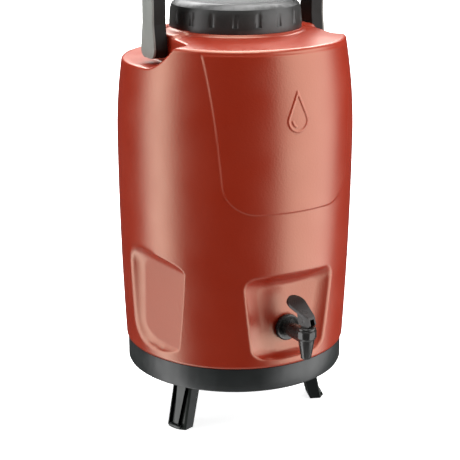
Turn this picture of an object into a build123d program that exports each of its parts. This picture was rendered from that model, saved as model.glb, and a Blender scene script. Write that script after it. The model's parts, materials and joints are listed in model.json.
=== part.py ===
from build123d import *
from math import atan2, cos, degrees, radians, sin, tan
import os

# Insulated beverage dispenser: a barrel body on a base with three folding legs, a bail handle,
# a screw lid and a lever faucet. Millimetres, +Z up, the faucet faces -Y.
# The origin is the centre of the base's underside, at the height of its rim.
# "Bearing" is an angle round +Z measured from the front (-Y) towards +X.

# ---- driving dimensions -------------------------------------------------------------------
GAP = 0.3                      # gap between parts that lie against each other
RUNNING = 0.05                 # radial clearance of a shaft that turns or slides in a bore

BELLY_R = 145.0                # the barrel's widest radius
BELLY_Z = 290.0                # and its height
LOWER_ARC_R = 4900.0           # radius of the barrel's outline below the belly
UPPER_ARC_R = 653.0            # and above it
BASE_H = 30.0                  # height of the base, on which the shell stands
RIM_Z = 412.0                  # the shoulder's outer edge
RIM_FILLET = 3.0
LOWER_MID_Z = 160.0            # a height on each arc, for drawing it
UPPER_MID_Z = 355.0
COLLAR_R = 81.0                # the collar under the lid
COLLAR_FOOT_Z = 419.0
COLLAR_TOP_Z = 422.0
SHELL_WALL = 3.0
PANEL_STEP = 1.0               # how far the front panel stands proud of the barrel

PANEL_BOTTOM_Z = 224.0
PANEL_TOP_Z = 408.0
PANEL_TOP_HALF = 97.4
PANEL_SIDE_SLOPE = 0.084       # how much the panel narrows per millimetre going down
PANEL_CORNER_R = 36.0

RECESS_FLOOR_Y = -125.0        # the faucet recess: a flat floor facing the front
RECESS_BOTTOM_Z = 45.0
RECESS_TOP_Z = 134.0
RECESS_TOP_SAG = 0.00182       # the top edge dips in the middle: per millimetre squared
RECESS_BOTTOM_HALF = 40.0
RECESS_WIDENING = 0.152        # how much the half width grows per millimetre going up
RECESS_CORNER_R = 15.0
RECESS_SIDE_DRAFT = 63.2       # how far each side of the recess slopes, from straight in
RECESS_TOP_DRAFT = 38.2
RECESS_BOTTOM_DRAFT = 19.6
RECESS_REACH = 22.0            # from the floor to beyond the barrel's front

GRIP_BEARING = 76.9            # the hand grips: flats whose normal has this bearing
GRIP_FLAT_R = 131.7            # distance of the flat from the axis
GRIP_REAR = 27.0               # the grip's end beyond the flat's centre line
GRIP_REACH = 75.0              # past the place where the flat runs out of the barrel
GRIP_BOTTOM_Z = 53.0
GRIP_TOP_Z = 161.0
GRIP_TOP_SLOPE = 0.10          # the top edge falls towards the front
GRIP_DROP = 7.6                # and the bottom edge falls this much as far as its knee
GRIP_KNEE = 18.0
GRIP_CORNER_R = 18.0
GRIP_REAR_DRAFT = 60.1
GRIP_END_DRAFT = 36.9
GRIP_OUT = 17.0                # from the flat to beyond the barrel

NOTCH_X = 99.0                 # the shoulder notches that take the handle's arms
NOTCH_FLOOR_Z = 386.0
NOTCH_FLOOR_FRONT = 38.0       # how far forward the notch reaches at its floor, and at the rim
NOTCH_TOP_FRONT = 62.0
NOTCH_BACK = 6.0               # where it has run into the rear ledge
NOTCH_CORNER_R = 24.0

LINER_R = 117.0
LINER_WALL = 2.5
LINER_CORNER = 12.0            # chamfer round the liner's floor
LINER_FLOOR_Z = 50.0
LINER_PAD_R = 17.0             # a flat pad inside the liner for the faucet's nut
LINER_PAD_Y = -111.5
LINER_SHOULDER_Z = 345.0
NECK_R = 71.5
NECK_WALL = 3.5
NECK_FOOT_Z = 398.0
NECK_TOP_Z = 446.0

THREAD_LEAD = 24.0             # rise of the lid per turn
THREAD_STARTS = 3
THREAD_DEPTH = 2.7
THREAD_T = 3.0
THREAD_Z = 433.0               # start of each rib's centre line
RIB_SWEEP = 90.0
LUG_SWEEP = 24.0
LUG_DROP = 3.2                 # how far a lid lug runs below its rib

LID_R = 80.0
LID_WALL = 3.0
LID_BOTTOM_Z = 422.6
LID_SHOULDER_Z = 447.0
LID_TOP_Z = 456.0
LID_SCALLOPS = 18
LID_DISH_R = 58.0
LID_DISH_DEPTH = 2.5
GASKET_T = 2.0
PLUG_R = 65.0
PLUG_WALL = 2.0
PLUG_BOTTOM_Z = 424.0
VENT_Y = 38.0                  # the vent plug stands behind the lid's centre
VENT_R = 4.0
VENT_HEAD_R = 9.0
VENT_TRAVEL = 6.0

HANDLE_PIVOT_Z = 405.0
ARM_INNER_X = 100.6
ARM_OUTER_X = 118.8
ARM_BOTTOM_Z = 392.0
ARM_BOTTOM_HALF = 17.3
ARM_TOP_HALF = 13.0
ARM_TAPER_START_Z = 403.5
ARM_TAPER_END_Z = 432.0
CROWN_Z = 524.0                # top of the bail's crown bar
CROWN_T = 19.0
CROWN_CORNER_R = 42.0
PIVOT_R = 5.0
PIVOT_DEPTH = 12.0             # how deep the pivot pin reaches into the arm
PIVOT_HEAD_R = 7.0
PIVOT_HEAD_T = 3.0

BASE_R = 136.2
BASE_WALL = 3.2
DECK_T = 3.2
HUB_R = 9.0
SCREW_CIRCLE_R = 127.0
SCREW_BEARINGS = (-30, 30, -102, 102, -150, 150)
SCREW_R = 1.9
SCREW_TOP_Z = 42.0
BOSS_R = 5.0

LEG_BEARINGS = {"leg_front_left": -69.5, "leg_front_right": 69.5, "leg_rear": 180.0}
LEG_W = 30.0
LEG_FOOT_Z = -68.2
LEG_FOOT_R = 117.3             # outer edge of the foot
LEG_FOOT_DEPTH = 18.4
LEG_OUTER_SLOPE = 0.22         # how far each face leans out per millimetre going down
LEG_INNER_SLOPE = 0.26
LEG_FACE_R = 26.0              # the outer face is a little round
LEG_EYE_R = 7.0
LEG_KNEE_Z = -4.0              # where the inner face turns in to the hinge eye
LEG_CHANNEL_W = 24.0           # the groove down the outer face
LEG_CHANNEL_DEPTH = 7.0
LEG_CHANNEL_L = 84.0
LEG_FOOT_RIM = 4.0             # what stays below the groove
LEG_WEDGE_H = 5.5              # the tapered wedge that stands in the groove
LEG_WEDGE_FOOT_HALF = 2.7
LEG_WEDGE_TOP_HALF = 8.5
LEG_WEDGE_TOP = 74.0
LEG_TOE_R = 2.6                # the rounded bar across the toe
LEG_TOE_W = 18.0
LEG_SIDE_GAP = 0.5             # between the leg and each cheek of its bay
HINGE_R = 94.5                 # the leg's hinge: distance from the axis, and height
HINGE_Z = 10.0
HINGE_PIN_R = 2.5
CHEEK_T = 3.0
BAY_INNER_R = 12.0             # the cleared bay that the folded leg lies in
BAY_OUTER_R = 92.0
CHEEK_INNER_R = 22.0
CHEEK_BOTTOM_Z = 3.0
STOP_T = 4.0                   # the block that stops the leg when it is folded out
STOP_GAP = 0.35

FAUCET_Z = 75.5                # the faucet's horizontal axis
BARREL_Y = -170.0              # and its upright one
SHANK_R = 8.0
SHANK_BORE_R = 4.5
SHANK_END_Y = -98.0
ROSETTE_R = 16.3
ROSETTE_BACK_Y = -126.6
NECK_TUBE_R = 8.6
SPOUT_Z = 50.0
SPOUT_R = 6.2
BARREL_R = 10.3
HEAD_R = 12.0                  # the barrel's faceted head
HEAD_BOTTOM_Z = 76.5
HEAD_TOP_Z = 87.0
HEAD_SIDES = 10
SEAT_Z = 60.0
CHAMBER_R = 7.5
CHAMBER_TOP_Z = 82.0
SOCKET_R = 9.0                 # the bonnet's socket in the head
BONNET_R = 11.0
BONNET_TOP_Z = 90.0
STEM_R = 3.0
STEM_BOTTOM_Z = 63.0
STEM_ABOVE_PIN = 2.8
CUP_R = 6.8
CUP_TOP_Z = 69.0
SPRING_R = 6.0
SPRING_WIRE_R = 0.45
SPRING_TURNS = 4.5
LEVER_PIN_Z = 97.0
LEVER_PIN_R = 1.5
LEVER_YAW = 14.0               # how far the lever is turned from straight back, towards -X
LEVER_RISE = 29.0              # the paddle's slope at rest
LEVER_LENGTH = 38.5
LEVER_W = 11.6                 # across the forked heel, and the paddle's front end
PADDLE_END_R = 12.3            # the paddle widens to a round end
LEVER_T = 4.0
FORK_GAP = 6.4
FORK_CEILING = 3.6             # top of the gap between the forks, above the pin
FORK_BACK = 3.6
FORK_ROUND_R = 4.6             # room for the stem's top as the lever tilts
CAM_RATE = 3.0                 # stem travel per radian of lever turn
CAM_ANGLE = 58.0               # how far round the heel the cam face runs
CAM_STEPS = 6
LEVER_TOP_FRONT = (-7.3, 6.5)  # front end of the paddle's top, from the lever pin
HEEL_BACK = (8.8, -2.4)        # back of the heel, from the lever pin
HEEL_ROOT = (10.7, 10.5)       # where the heel's back meets the paddle
NUT_FLAT_R = 13.0
NUT_T = 8.0
WASHER_R = 14.0
OUTER_WASHER_T = 1.5
INNER_WASHER_T = 2.0

RIM_R = BELLY_R - (RIM_Z - BELLY_Z) ** 2 / (2 * UPPER_ARC_R) + 0.1


def barrel_r(z):
    """Outer radius of the barrel at a height."""
    arc = LOWER_ARC_R if z < BELLY_Z else UPPER_ARC_R
    return BELLY_R - (z - BELLY_Z) ** 2 / (2 * arc)


def revolved(points):
    """A solid of revolution about Z from (radius, height) points."""
    outline = Polyline([(r, 0, z) for r, z in points], close=True)
    return revolve(make_face(outline), Axis.Z)


def tube(outer_r, inner_r, bottom, top):
    """An upright tube round the axis; an inner radius of 0 gives a rod."""
    body = Pos(0, 0, (bottom + top) / 2) * Cylinder(outer_r, top - bottom)
    if inner_r > 0:
        body -= Pos(0, 0, (bottom + top) / 2) * Cylinder(inner_r, top - bottom + 2)
    return body


def at_bearing(shape, bearing):
    """Turn a shape that was built facing the front to a bearing."""
    return Rot(0, 0, bearing) * shape


def ring_y(outer_r, inner_r, y_front, y_back):
    """A ring on the faucet's horizontal axis."""
    length = y_back - y_front
    place = Pos(0, (y_front + y_back) / 2, FAUCET_Z) * Rot(90, 0, 0)
    body = place * Cylinder(outer_r, length)
    if inner_r > 0:
        body -= place * Cylinder(inner_r, length + 2)
    return body


# ---- barrel -------------------------------------------------------------------------------
def barrel(inset, bottom=BASE_H):
    """The barrel's solid envelope, moved in by an inset (or out, when it is negative)."""
    foot = (barrel_r(bottom) - inset, 0, bottom)
    lower_mid = (barrel_r(LOWER_MID_Z) - inset, 0, LOWER_MID_Z)
    belly = (BELLY_R - inset, 0, BELLY_Z)
    upper_mid = (barrel_r(UPPER_MID_Z) - inset, 0, UPPER_MID_Z)
    rim = (RIM_R - inset, 0, RIM_Z - inset)
    collar_foot = (COLLAR_R + 3 - inset, 0, COLLAR_FOOT_Z - inset)
    collar = (COLLAR_R - inset, 0, COLLAR_FOOT_Z + 2 - inset)
    top = (COLLAR_R - inset, 0, COLLAR_TOP_Z - inset)
    outline = ThreePointArc(foot, lower_mid, belly)
    outline += ThreePointArc(belly, upper_mid, rim)
    outline += Polyline(rim, collar_foot, collar, top, (0, 0, top[2]), (0, 0, bottom), foot)
    return revolve(make_face(outline), Axis.Z)


def side_offset(draft, out, inset):
    """How far a hollow's sloping side has moved out, at a distance in front of the hollow's floor."""
    slope = radians(draft)
    return out * tan(slope) + inset / cos(slope)


def recess_section(out, inset):
    """The faucet recess cut across by an upright plane in front of its floor."""
    sides = side_offset(RECESS_SIDE_DRAFT, out, inset)
    top = RECESS_TOP_Z + side_offset(RECESS_TOP_DRAFT, out, inset)
    bottom = RECESS_BOTTOM_Z - side_offset(RECESS_BOTTOM_DRAFT, out, inset)
    lower = RECESS_BOTTOM_HALF + sides + RECESS_WIDENING * (bottom - RECESS_BOTTOM_Z)
    upper = RECESS_BOTTOM_HALF + sides + RECESS_WIDENING * (top - RECESS_BOTTOM_Z)
    ends = top + RECESS_TOP_SAG * upper ** 2
    outline = Polyline((-upper, ends), (-lower, bottom), (lower, bottom), (upper, ends))
    outline += ThreePointArc((upper, ends), (0, top), (-upper, ends))
    face = make_face(outline)
    face = fillet(face.vertices(), RECESS_CORNER_R + inset)
    return Plane(origin=(0, RECESS_FLOOR_Y - out, 0), x_dir=(1, 0, 0), z_dir=(0, -1, 0)) * face


def recess_tool(inset):
    """What is cut out of the front for the faucet; an inset keeps a wall's thickness."""
    return loft([recess_section(-inset, inset), recess_section(RECESS_REACH, inset)], ruled=True)


def grip_section(out, inset):
    """The left hand grip cut across by a plane in front of its flat."""
    ends = side_offset(GRIP_END_DRAFT, out, inset)
    rear = GRIP_REAR + side_offset(GRIP_REAR_DRAFT, out, inset)
    bottom = GRIP_BOTTOM_Z - ends
    top = GRIP_TOP_Z + ends
    front_top = top - GRIP_TOP_SLOPE * (GRIP_REACH + GRIP_REAR)
    corners = [
        (-rear, bottom), (GRIP_KNEE, bottom - GRIP_DROP), (GRIP_REACH, bottom - GRIP_DROP),
        (GRIP_REACH, front_top), (-rear, top + GRIP_TOP_SLOPE * (rear - GRIP_REAR)),
    ]
    face = make_face(Polyline(corners, close=True))
    face = fillet(face.vertices().sort_by(Axis.X)[:2], GRIP_CORNER_R + inset)
    bearing = radians(GRIP_BEARING)
    normal = Vector(-sin(bearing), -cos(bearing), 0)
    along = (cos(bearing), -sin(bearing), 0)
    return Plane(origin=normal * (GRIP_FLAT_R + out), x_dir=along, z_dir=normal) * face


def grip_tool(side, inset):
    """What is cut out of one side for a hand; side is -1 or 1."""
    tool = loft([grip_section(-inset, inset), grip_section(GRIP_OUT, inset)], ruled=True)
    return tool if side < 0 else mirror(tool, about=Plane.YZ)


def notch_tool(side, inset):
    """What is cut out of the shoulder for one of the handle's arms, open towards the rear ledge."""
    floor = NOTCH_FLOOR_Z - inset
    top = RIM_Z + 20
    slope = (NOTCH_TOP_FRONT - NOTCH_FLOOR_FRONT) / (RIM_Z - NOTCH_FLOOR_Z)
    low = NOTCH_FLOOR_FRONT + inset
    high = NOTCH_FLOOR_FRONT + slope * (top - NOTCH_FLOOR_Z) + inset
    corners = [(-low, floor), (NOTCH_BACK, floor), (NOTCH_BACK, top), (-high, top)]
    face = make_face(Polyline(corners, close=True))
    front_corner = face.vertices().sort_by(Axis.Y)[:2].sort_by(Axis.X)[0]
    face = fillet(front_corner, NOTCH_CORNER_R)
    start = side * (NOTCH_X - inset)
    wall = Plane(origin=(start, 0, 0), x_dir=(0, 1, 0), z_dir=(1, 0, 0))
    return extrude(wall * face, side * 60)


def rear_ledge(inset):
    """The step round the back of the shoulder, where the handle lies when it is folded back."""
    top = RIM_Z + 20
    ring = tube(2 * BELLY_R, NOTCH_X - inset, NOTCH_FLOOR_Z - inset, top)
    return ring & (Pos(0, 2 * BELLY_R, top / 2) * Box(4 * BELLY_R, 4 * BELLY_R, 2 * top))


def hollows(inset):
    """Every hollow in the barrel's outside, with a wall's thickness kept round it."""
    tools = [recess_tool(inset), rear_ledge(inset)]
    for side in (-1, 1):
        tools.append(grip_tool(side, inset))
        tools.append(notch_tool(side, inset))
    return tools


def front_panel():
    """The raised panel on the upper front: a slightly larger barrel inside the panel's outline."""
    bottom_half = PANEL_TOP_HALF - PANEL_SIDE_SLOPE * (PANEL_TOP_Z - PANEL_BOTTOM_Z)
    corners = [
        (-bottom_half, PANEL_BOTTOM_Z),
        (bottom_half, PANEL_BOTTOM_Z),
        (PANEL_TOP_HALF, PANEL_TOP_Z),
        (-PANEL_TOP_HALF, PANEL_TOP_Z),
    ]
    face = make_face(Polyline(corners, close=True))
    face = fillet(face.vertices().sort_by(Axis.Y)[:2], PANEL_CORNER_R)
    prism = extrude(Plane(origin=(0, 0, 0), x_dir=(1, 0, 0), z_dir=(0, -1, 0)) * face, BELLY_R + 10)
    return (barrel(-PANEL_STEP) & prism) - barrel(0)


def screw_post(bearing, r, top):
    """An upright rod on the line of one of the base screws."""
    post = Pos(0, -SCREW_CIRCLE_R, (BASE_H + top) / 2) * Cylinder(r, top - BASE_H)
    return at_bearing(post, bearing)


def screw_boss(bearing, grow):
    """The boss over one of the base screws, with the web that joins it to the wall."""
    top = SCREW_TOP_Z + 2 + grow
    reach = barrel_r(BASE_H) - SHELL_WALL / 2 - SCREW_CIRCLE_R
    place = Pos(0, -SCREW_CIRCLE_R - reach / 2, (BASE_H + top) / 2)
    web = place * Box(BOSS_R + 2 * grow, reach, top - BASE_H)
    return screw_post(bearing, BOSS_R + grow, top) + at_bearing(web, bearing)


def pivot_place(x_from, x_to):
    """Where a cylinder on the handle's pivot axis stands, and how long it is."""
    return Pos((x_from + x_to) / 2, 0, HANDLE_PIVOT_Z) * Rot(0, 90, 0), abs(x_to - x_from)


def outer_shell():
    body = barrel(0)
    circles = body.edges().filter_by(GeomType.CIRCLE)
    rim = circles.sort_by(lambda edge: abs(edge.radius - RIM_R) + abs(edge.center().Z - RIM_Z))[0]
    body = fillet(rim, RIM_FILLET)
    body -= hollows(0)
    body += front_panel()
    cavity = barrel(SHELL_WALL)
    cavity -= hollows(SHELL_WALL)
    body -= cavity
    body -= tube(NECK_R + GAP, 0, RIM_Z - 10, COLLAR_TOP_Z + 10)
    for bearing in SCREW_BEARINGS:
        body += screw_boss(bearing, 0)
        body -= screw_post(bearing, SCREW_R + RUNNING, SCREW_TOP_Z + 0.5)
    for side in (-1, 1):
        place, length = pivot_place(side * (NOTCH_X - SHELL_WALL - 2), side * (NOTCH_X + 2))
        body -= place * Cylinder(PIVOT_R + RUNNING, length)
    body -= ring_y(SHANK_R + GAP, 0, RECESS_FLOOR_Y - 2, RECESS_FLOOR_Y + SHELL_WALL + 2)
    return body


def liner_envelope(grow):
    """Outside of the liner, grown by a clearance."""
    r = LINER_R + grow
    neck = NECK_R + grow
    bottom = LINER_FLOOR_Z - LINER_WALL - grow
    return revolved([
        (0, bottom), (r - LINER_CORNER, bottom), (r, bottom + LINER_CORNER),
        (r, LINER_SHOULDER_Z + grow),
        (neck, NECK_FOOT_Z + grow), (neck, NECK_TOP_Z), (0, NECK_TOP_Z),
    ])


def foam_insulation():
    inset = SHELL_WALL + GAP
    body = barrel(inset, bottom=BASE_H + GAP)
    body -= hollows(inset)
    body -= liner_envelope(GAP)
    for bearing in SCREW_BEARINGS:
        body -= screw_boss(bearing, GAP)
    for side in (-1, 1):
        inner = NOTCH_X - SHELL_WALL - 6
        place, length = pivot_place(side * inner, side * (NOTCH_X + 2))
        body -= place * Cylinder(PIVOT_HEAD_R + GAP, length)
    body -= ring_y(SHANK_R + GAP, 0, RECESS_FLOOR_Y - 5, -LINER_R + 12)
    body -= ring_y(LINER_PAD_R + GAP, 0, -LINER_R, -LINER_R + 12)
    return body


# ---- liner and its thread -----------------------------------------------------------------
def helical_rib(inner_r, outer_r, start_z, start_angle, sweep_angle):
    """One thread rib: a rectangle swept along a short right-handed helix."""
    rise = THREAD_LEAD * sweep_angle / 360
    path = Helix(pitch=THREAD_LEAD, height=rise, radius=(inner_r + outer_r) / 2)
    section_plane = Plane(origin=path @ 0, x_dir=(1, 0, 0), z_dir=path % 0)
    section = section_plane * Rectangle(outer_r - inner_r, THREAD_T)
    rib = sweep(section, path=path, is_frenet=True)
    return Pos(0, 0, start_z) * Rot(0, 0, start_angle) * rib


def inner_liner():
    inner_r = LINER_R - LINER_WALL
    neck_inner = NECK_R - NECK_WALL
    body = liner_envelope(0)
    body -= revolved([
        (0, LINER_FLOOR_Z), (inner_r - LINER_CORNER, LINER_FLOOR_Z),
        (inner_r, LINER_FLOOR_Z + LINER_CORNER),
        (inner_r, LINER_SHOULDER_Z - 1), (neck_inner, NECK_FOOT_Z - 1),
        (neck_inner, NECK_TOP_Z + 1), (0, NECK_TOP_Z + 1),
    ])
    body += ring_y(LINER_PAD_R, 0, -LINER_R + 0.2, LINER_PAD_Y)
    body -= ring_y(SHANK_R + GAP, 0, -LINER_R - 5, LINER_PAD_Y + 2)
    for start in range(THREAD_STARTS):
        angle = start * 360 / THREAD_STARTS
        body += helical_rib(NECK_R - 0.4, NECK_R + THREAD_DEPTH, THREAD_Z, angle, RIB_SWEEP)
    return body


# ---- base and legs ------------------------------------------------------------------------
def leg_hinge_bore(length, r):
    """A rod on the hinge axis of a leg that faces the front."""
    return Pos(0, -HINGE_R, HINGE_Z) * Rot(0, 90, 0) * Cylinder(r, length)


def base_ring():
    deck_z = BASE_H - DECK_T
    inner = BASE_R - BASE_WALL
    body = revolved([
        (0, BASE_H), (BASE_R, BASE_H), (BASE_R, 2.5), (BASE_R - 1.0, 0.5), (BASE_R - 2.2, 0),
        (inner, 0), (inner, deck_z), (0, deck_z),
    ])
    body += tube(HUB_R, 0, 0, deck_z + 1)
    cheek_length = inner - CHEEK_INNER_R + 1
    cheek_height = deck_z - CHEEK_BOTTOM_Z + 1
    bay_w = LEG_W + 2 * LEG_SIDE_GAP
    for bearing in LEG_BEARINGS.values():
        for side in (-1, 1):
            place = Pos(side * (bay_w + CHEEK_T) / 2, -CHEEK_INNER_R - cheek_length / 2,
                        CHEEK_BOTTOM_Z + cheek_height / 2)
            body += at_bearing(place * Box(CHEEK_T, cheek_length, cheek_height), bearing)
    for bearing in LEG_BEARINGS.values():
        bay_length = BAY_OUTER_R - BAY_INNER_R
        bay = Pos(0, -BAY_INNER_R - bay_length / 2, 0) * Box(bay_w, bay_length, 2 * deck_z)
        body -= at_bearing(bay, bearing) - tube(HUB_R + LEG_SIDE_GAP, 0, -1, deck_z)
        stop_y = -leg_outer_r(CHEEK_BOTTOM_Z) - STOP_GAP - STOP_T / 2
        stop = Pos(0, stop_y, CHEEK_BOTTOM_Z + cheek_height / 2) * Box(bay_w + 1, STOP_T, cheek_height)
        body += at_bearing(stop, bearing)
        body -= at_bearing(leg_hinge_bore(bay_w + 2 * CHEEK_T + 2, HINGE_PIN_R + RUNNING), bearing)
    for bearing in SCREW_BEARINGS:
        hole = Pos(0, -SCREW_CIRCLE_R, 0) * Cylinder(SCREW_R + GAP, 2 * BASE_H + 4)
        body -= at_bearing(hole, bearing)
    return body


def leg_outer_r(z):
    """Distance of the leg's outer face from the axis at a height."""
    return LEG_FOOT_R - LEG_OUTER_SLOPE * (z - LEG_FOOT_Z)


def leg_inner_r(z):
    """Distance of the leg's inner face from the axis at a height."""
    return LEG_FOOT_R - LEG_FOOT_DEPTH - LEG_INNER_SLOPE * (z - LEG_FOOT_Z)


def leg_blank():
    """The leg's side view at its full width, with the eye of its hinge."""
    knee = (-HINGE_R + LEG_EYE_R, HINGE_Z - 2)
    top_z = HINGE_Z + 4
    side = make_face(Polyline([
        (-leg_outer_r(LEG_FOOT_Z), LEG_FOOT_Z), (-leg_inner_r(LEG_FOOT_Z), LEG_FOOT_Z),
        (-leg_inner_r(LEG_KNEE_Z), LEG_KNEE_Z), knee, (knee[0] - 3, top_z),
        (-leg_outer_r(top_z), top_z),
    ], close=True))
    side_plane = Plane(origin=(-LEG_W / 2, 0, 0), x_dir=(0, 1, 0), z_dir=(1, 0, 0))
    return extrude(side_plane * side, LEG_W) + leg_hinge_bore(LEG_W, LEG_EYE_R)


def leg():
    """One leg, facing the front, turned out to its stop."""
    toe_y = -leg_outer_r(LEG_FOOT_Z)
    lean = degrees(atan2(LEG_OUTER_SLOPE, 1))
    face_frame = Pos(0, toe_y, LEG_FOOT_Z) * Rot(-lean, 0, 0)
    body = leg_blank()
    body &= face_frame * Pos(0, LEG_FACE_R, 0) * Cylinder(LEG_FACE_R, 300)
    channel = Box(LEG_CHANNEL_W, 2 * LEG_CHANNEL_DEPTH, LEG_CHANNEL_L)
    body -= face_frame * Pos(0, 0, LEG_FOOT_RIM + LEG_CHANNEL_L / 2) * channel
    wedge = make_face(Polyline([
        (-LEG_WEDGE_FOOT_HALF, LEG_FOOT_RIM - 1), (LEG_WEDGE_FOOT_HALF, LEG_FOOT_RIM - 1),
        (LEG_WEDGE_TOP_HALF, LEG_WEDGE_TOP), (-LEG_WEDGE_TOP_HALF, LEG_WEDGE_TOP),
    ], close=True))
    wedge_plane = Plane(origin=(0, LEG_CHANNEL_DEPTH + 1, 0), x_dir=(1, 0, 0), z_dir=(0, -1, 0))
    body += face_frame * extrude(wedge_plane * wedge, LEG_WEDGE_H)
    toe_place = Pos(0, toe_y + LEG_TOE_R - GAP, LEG_FOOT_Z + LEG_TOE_R) * Rot(0, 90, 0)
    body += toe_place * Cylinder(LEG_TOE_R, LEG_TOE_W)
    body -= leg_hinge_bore(LEG_W + 2, HINGE_PIN_R + RUNNING)
    body -= Pos(0, 0, LEG_FOOT_Z - 10) * Box(400, 400, 20)
    return body


def leg_hinge_pins():
    pin = leg_hinge_bore(LEG_W + 2 * CHEEK_T + 1.6, HINGE_PIN_R)
    return Compound([at_bearing(pin, bearing) for bearing in LEG_BEARINGS.values()])


def base_screws():
    seat_z = BASE_H - DECK_T - RUNNING
    shank_length = SCREW_TOP_Z - seat_z + 1
    shank_z = SCREW_TOP_Z - shank_length / 2
    screw = Pos(0, -SCREW_CIRCLE_R, shank_z) * Cylinder(SCREW_R, shank_length)
    screw += Pos(0, -SCREW_CIRCLE_R, seat_z - 1.5) * Cylinder(2 * SCREW_R, 3)
    return Compound([at_bearing(screw, bearing) for bearing in SCREW_BEARINGS])


# ---- handle -------------------------------------------------------------------------------
def handle():
    """The bail: two arms and a crown bar, cut to the arms' side view."""
    outer = make_face(Polyline([
        (-ARM_OUTER_X, ARM_BOTTOM_Z), (ARM_OUTER_X, ARM_BOTTOM_Z),
        (ARM_OUTER_X, CROWN_Z), (-ARM_OUTER_X, CROWN_Z),
    ], close=True))
    outer = fillet(outer.vertices().sort_by(Axis.Y)[-2:], CROWN_CORNER_R)
    inner = make_face(Polyline([
        (-ARM_INNER_X, ARM_BOTTOM_Z - 5), (ARM_INNER_X, ARM_BOTTOM_Z - 5),
        (ARM_INNER_X, CROWN_Z - CROWN_T), (-ARM_INNER_X, CROWN_Z - CROWN_T),
    ], close=True))
    inner = fillet(inner.vertices().sort_by(Axis.Y)[-2:], CROWN_CORNER_R - 18)
    front_plane = Plane(origin=(0, 30, 0), x_dir=(1, 0, 0), z_dir=(0, -1, 0))
    body = extrude(front_plane * (outer - inner), 60)
    side = make_face(Polyline([
        (-ARM_BOTTOM_HALF, ARM_BOTTOM_Z), (ARM_BOTTOM_HALF, ARM_BOTTOM_Z),
        (ARM_BOTTOM_HALF, ARM_TAPER_START_Z), (ARM_TOP_HALF, ARM_TAPER_END_Z),
        (ARM_TOP_HALF, CROWN_Z), (-ARM_TOP_HALF, CROWN_Z),
        (-ARM_TOP_HALF, ARM_TAPER_END_Z), (-ARM_BOTTOM_HALF, ARM_TAPER_START_Z),
    ], close=True))
    side = fillet(side.vertices().sort_by(Axis.Y)[:2], 10)
    side = fillet(side.vertices().sort_by(Axis.Y)[-2:], 6)
    side_plane = Plane(origin=(-130, 0, 0), x_dir=(0, 1, 0), z_dir=(1, 0, 0))
    body &= extrude(side_plane * side, 260)
    for end in (-1, 1):
        place, length = pivot_place(end * (ARM_INNER_X - 2), end * (ARM_INNER_X + PIVOT_DEPTH + 1))
        body -= place * Cylinder(PIVOT_R + RUNNING, length)
    return body


def handle_pivot_pins():
    """A headed pin at each side: the head lies inside the shell, the end is in the arm."""
    pins = []
    for side in (-1, 1):
        wall = NOTCH_X - SHELL_WALL
        place, length = pivot_place(side * (wall - GAP), side * (ARM_INNER_X + PIVOT_DEPTH))
        head_place, head_length = pivot_place(side * (wall - GAP - PIVOT_HEAD_T), side * (wall - GAP))
        pins.append(place * Cylinder(PIVOT_R, length) + head_place * Cylinder(PIVOT_HEAD_R, head_length))
    return Compound(pins)


def handle_washers():
    washers = []
    for side in (-1, 1):
        place, length = pivot_place(side * (NOTCH_X + 0.1), side * (ARM_INNER_X - 0.1))
        washers.append(place * (Cylinder(9, length) - Cylinder(PIVOT_R + RUNNING, length + 1)))
    return Compound(washers)


# ---- lid ----------------------------------------------------------------------------------
CAP_UNDERSIDE_Z = NECK_TOP_Z + GASKET_T + 0.1
VENT_SEAT_Z = LID_TOP_Z - 1.9


def lid_cap():
    skirt_inner = LID_R - LID_WALL
    outer = revolved([
        (0, LID_TOP_Z - 0.5 * LID_DISH_DEPTH), (LID_DISH_R - 6, LID_TOP_Z - LID_DISH_DEPTH),
        (LID_DISH_R, LID_TOP_Z), (LID_R - 10, LID_TOP_Z - 0.8), (LID_R - 3, LID_SHOULDER_Z + 3),
        (LID_R - 1, LID_SHOULDER_Z - 3), (LID_R, LID_BOTTOM_Z + 6), (LID_R, LID_BOTTOM_Z),
        (0, LID_BOTTOM_Z),
    ])
    body = outer - tube(skirt_inner, 0, LID_BOTTOM_Z - 5, CAP_UNDERSIDE_Z)
    for step in range(LID_SCALLOPS):
        groove = Pos(LID_R + 3.6, 0, LID_SHOULDER_Z) * Cylinder(5.2, 34)
        body -= Rot(0, 0, step * 360 / LID_SCALLOPS) * groove
    for start in range(THREAD_STARTS):
        angle = start * 360 / THREAD_STARTS + 40
        z = THREAD_Z - LUG_DROP + THREAD_LEAD * 40 / 360
        body += helical_rib(NECK_R + 0.5, skirt_inner + 0.4, z, angle, LUG_SWEEP)
    body -= Pos(0, VENT_Y, LID_TOP_Z) * Cylinder(VENT_R + RUNNING, 40)
    body -= Pos(0, VENT_Y, VENT_SEAT_Z + 5) * Cylinder(VENT_HEAD_R + 2, 10)
    return body


def lid_inner():
    """The cup under the cap that closes the mouth and holds the lid's insulation."""
    top = CAP_UNDERSIDE_Z - 0.1
    body = tube(PLUG_R, PLUG_R - PLUG_WALL, PLUG_BOTTOM_Z, top)
    body += tube(PLUG_R, 0, PLUG_BOTTOM_Z, PLUG_BOTTOM_Z + PLUG_WALL)
    body -= Pos(0, VENT_Y, PLUG_BOTTOM_Z) * Cylinder(VENT_R + 3, 20)
    return body


def lid_foam():
    body = tube(PLUG_R - PLUG_WALL - GAP, 0, PLUG_BOTTOM_Z + PLUG_WALL + GAP, CAP_UNDERSIDE_Z - 0.1)
    return body - Pos(0, VENT_Y, LID_TOP_Z - 30) * Cylinder(VENT_R + 3, 60)


def lid_gasket():
    return tube(NECK_R, PLUG_R + 0.6, NECK_TOP_Z + 0.05, NECK_TOP_Z + GASKET_T)


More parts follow.
